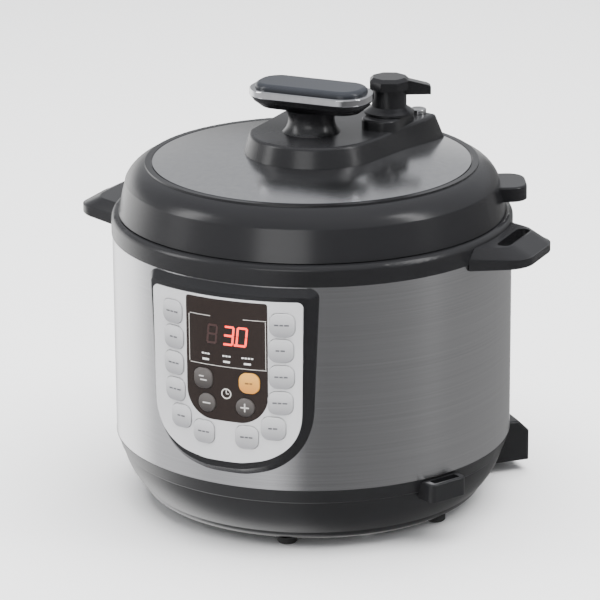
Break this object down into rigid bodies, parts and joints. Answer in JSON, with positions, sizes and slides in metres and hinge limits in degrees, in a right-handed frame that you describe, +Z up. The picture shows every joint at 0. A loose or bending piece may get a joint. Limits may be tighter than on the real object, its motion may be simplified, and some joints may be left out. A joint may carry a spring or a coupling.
{
  "type": "electric pressure cooker",
  "caption": "Round electric pressure cooker with a curved front key panel, side handles and a twist-lock lid with a T-shaped grip and turning valve.",
  "frame": {"origin": "on the floor, midway between the two handles and between the panel's front and the cup's back", "axes": "+Z up, -Y towards the control panel, +X towards the slotted handle"},
  "size_m": [0.344, 0.3002, 0.2975],
  "materials": {
    "body_plastic": "satin black moulding",
    "lid_plastic": "half-gloss black moulding",
    "cap_plastic": "half-gloss dark slate",
    "shell_steel": "upright brushed stainless steel",
    "disc_steel": "satin bright stainless steel",
    "pot_steel": "satin stainless steel",
    "vessel_aluminium": "plain aluminium",
    "hardware_steel": "plain steel",
    "trim_chrome": "polished chrome",
    "rubber_black": "matt black rubber",
    "seal_silicone": "pale silicone",
    "circuit_board": "green laminate",
    "display_dark": "smoked gloss",
    "panel_pale": "pale silver grey film",
    "key_grey": "silver grey",
    "key_dark": "dark brown grey",
    "key_orange": "orange",
    "pin_brass": "plated brass",
    "cup_clear": "clear smoked plastic"
  },
  "bodies": {
    "cooker_body": {"base_housing": "body_plastic", "bottom_cover": "body_plastic", "feet": "rubber_black", "base_screws": "hardware_steel", "outer_shell": "shell_steel", "upper_collar": "body_plastic", "left_handle": "body_plastic", "right_handle": "body_plastic", "handle_screws": "hardware_steel", "outer_pot": "vessel_aluminium", "heating_plate": "vessel_aluminium", "sensor_spring": "hardware_steel", "pressure_switch": "hardware_steel", "thermal_fuse": "hardware_steel", "power_board": "circuit_board", "control_board": "circuit_board", "board_screws": "hardware_steel", "display_module": "display_dark", "panel_bezel": "body_plastic", "panel_overlay": "panel_pale", "display_window": "display_dark", "accessory_socket": "body_plastic", "inlet_housing": "body_plastic", "inlet_pins": "pin_brass", "cup_bracket": "body_plastic"},
    "seal": {"sealing_ring": "seal_silicone", "seal_rack": "pot_steel"},
    "lid": {"lid_ring": "lid_plastic", "lid_disc": "disc_steel", "pressure_lid": "pot_steel", "lid_bracket": "lid_plastic", "handle_stem": "lid_plastic", "handle_grip": "lid_plastic", "grip_trim": "trim_chrome", "grip_cap": "cap_plastic", "handle_bolt": "hardware_steel", "exhaust_pipe": "pot_steel", "anti_block_shield": "pot_steel"},
    "inner_pot": {"inner_pot": "pot_steel"},
    "sensor_cap": {"thermal_sensor_cap": "vessel_aluminium"},
    "cup": {"condensation_cup": "cup_clear"},
    "pressure_valve": {"valve_knob": "lid_plastic"},
    "float_valve": {"float_valve": "pot_steel"},
    "key_left_1": {"key_left_1": "key_grey"},
    "key_left_2": {"key_left_2": "key_grey"},
    "key_left_3": {"key_left_3": "key_grey"},
    "key_left_4": {"key_left_4": "key_grey"},
    "key_left_5": {"key_left_5": "key_grey"},
    "key_left_6": {"key_left_6": "key_grey"},
    "key_right_1": {"key_right_1": "key_grey"},
    "key_right_2": {"key_right_2": "key_grey"},
    "key_right_3": {"key_right_3": "key_grey"},
    "key_right_4": {"key_right_4": "key_grey"},
    "key_right_5": {"key_right_5": "key_grey"},
    "key_right_6": {"key_right_6": "key_grey"},
    "key_timer": {"key_timer": "key_dark"},
    "key_start": {"key_start": "key_orange"},
    "key_minus": {"key_minus": "key_dark"},
    "key_plus": {"key_plus": "key_dark"}
  },
  "joints": [
    {"name": "lid_lift", "type": "slide", "parent": "cooker_body", "child": "seal", "axis": [0, 0, 1], "range_m": [0, 0.2]},
    {"name": "lid_turn", "type": "hinge", "parent": "seal", "child": "lid", "pos_m": [0, 0, 0.24], "axis": [0, 0, 1], "range_deg": [-27, 0]},
    {"name": "pot_lift", "type": "slide", "parent": "cooker_body", "child": "inner_pot", "axis": [0, 0, 1], "range_m": [0, 0.09]},
    {"name": "sensor_press", "type": "slide", "parent": "cooker_body", "child": "sensor_cap", "axis": [0, 0, 1], "range_m": [-0.0015, 0], "stiffness_N_per_m": 600},
    {"name": "cup_lift", "type": "slide", "parent": "cooker_body", "child": "cup", "axis": [0, 0, 1], "range_m": [0, 0.045]},
    {"name": "valve_turn", "type": "hinge", "parent": "lid", "child": "pressure_valve", "pos_m": [0.041, 0.041, 0.28], "axis": [0, 0, 1], "range_deg": [0, 50]},
    {"name": "float_rise", "type": "slide", "parent": "lid", "child": "float_valve", "axis": [0, 0, 1], "range_m": [0, 0.003]},
    {"name": "key_left_1_press", "type": "slide", "parent": "cooker_body", "child": "key_left_1", "axis": [0, 1, 0], "range_m": [0, 0.0008], "stiffness_N_per_m": 400},
    {"name": "key_left_2_press", "type": "slide", "parent": "cooker_body", "child": "key_left_2", "axis": [0, 1, 0], "range_m": [0, 0.0008], "stiffness_N_per_m": 400},
    {"name": "key_left_3_press", "type": "slide", "parent": "cooker_body", "child": "key_left_3", "axis": [0, 1, 0], "range_m": [0, 0.0008], "stiffness_N_per_m": 400},
    {"name": "key_left_4_press", "type": "slide", "parent": "cooker_body", "child": "key_left_4", "axis": [0, 1, 0], "range_m": [0, 0.0008], "stiffness_N_per_m": 400},
    {"name": "key_left_5_press", "type": "slide", "parent": "cooker_body", "child": "key_left_5", "axis": [0, 1, 0], "range_m": [0, 0.0008], "stiffness_N_per_m": 400},
    {"name": "key_left_6_press", "type": "slide", "parent": "cooker_body", "child": "key_left_6", "axis": [0, 1, 0], "range_m": [0, 0.0008], "stiffness_N_per_m": 400},
    {"name": "key_right_1_press", "type": "slide", "parent": "cooker_body", "child": "key_right_1", "axis": [0, 1, 0], "range_m": [0, 0.0008], "stiffness_N_per_m": 400},
    {"name": "key_right_2_press", "type": "slide", "parent": "cooker_body", "child": "key_right_2", "axis": [0, 1, 0], "range_m": [0, 0.0008], "stiffness_N_per_m": 400},
    {"name": "key_right_3_press", "type": "slide", "parent": "cooker_body", "child": "key_right_3", "axis": [0, 1, 0], "range_m": [0, 0.0008], "stiffness_N_per_m": 400},
    {"name": "key_right_4_press", "type": "slide", "parent": "cooker_body", "child": "key_right_4", "axis": [0, 1, 0], "range_m": [0, 0.0008], "stiffness_N_per_m": 400},
    {"name": "key_right_5_press", "type": "slide", "parent": "cooker_body", "child": "key_right_5", "axis": [0, 1, 0], "range_m": [0, 0.0008], "stiffness_N_per_m": 400},
    {"name": "key_right_6_press", "type": "slide", "parent": "cooker_body", "child": "key_right_6", "axis": [0, 1, 0], "range_m": [0, 0.0008], "stiffness_N_per_m": 400},
    {"name": "key_timer_press", "type": "slide", "parent": "cooker_body", "child": "key_timer", "axis": [0, 1, 0], "range_m": [0, 0.0008], "stiffness_N_per_m": 400},
    {"name": "key_start_press", "type": "slide", "parent": "cooker_body", "child": "key_start", "axis": [0, 1, 0], "range_m": [0, 0.0008], "stiffness_N_per_m": 400},
    {"name": "key_minus_press", "type": "slide", "parent": "cooker_body", "child": "key_minus", "axis": [0, 1, 0], "range_m": [0, 0.0008], "stiffness_N_per_m": 400},
    {"name": "key_plus_press", "type": "slide", "parent": "cooker_body", "child": "key_plus", "axis": [0, 1, 0], "range_m": [0, 0.0008], "stiffness_N_per_m": 400}
  ],
  "couplings": [
    {"joint": "pot_lift", "follows": "lid_lift", "ratio": 0.45}
  ]
}
